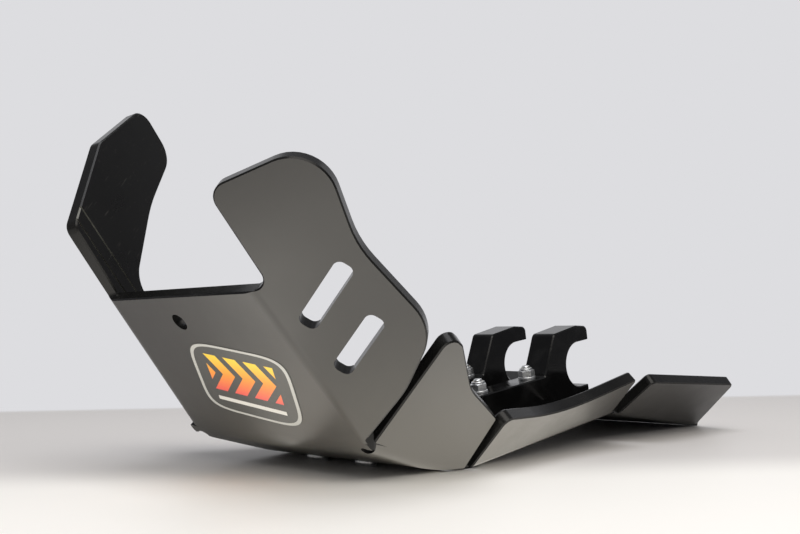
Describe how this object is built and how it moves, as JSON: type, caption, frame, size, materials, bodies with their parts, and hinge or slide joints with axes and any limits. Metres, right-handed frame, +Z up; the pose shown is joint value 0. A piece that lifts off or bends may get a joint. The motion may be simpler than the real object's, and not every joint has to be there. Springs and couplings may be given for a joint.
{
  "type": "motorcycle skid plate",
  "caption": "Folded plastic sheet that guards a motorcycle's engine and linkage from below, with two bolted hooks for a cross tube of the frame.",
  "frame": {"origin": "middle of the whole part's footprint, on the surface it rests on", "axes": "+X to the motorcycle's front, +Y to the rider's left, +Z up as the part rests on a table"},
  "size_m": [0.4704, 0.2712, 0.2282],
  "materials": {
    "hdpe_sheet": "satin",
    "hdpe_block": "satin, machined",
    "zinc_steel": "bright zinc plate"
  },
  "bodies": {
    "root": {"skid_plate": "hdpe_sheet", "left_hook": "hdpe_block", "right_hook": "hdpe_block", "hook_bolts": "zinc_steel", "belly_bolts": "zinc_steel", "washers": "zinc_steel", "lock_nuts": "zinc_steel"}
  },
  "joints": []
}
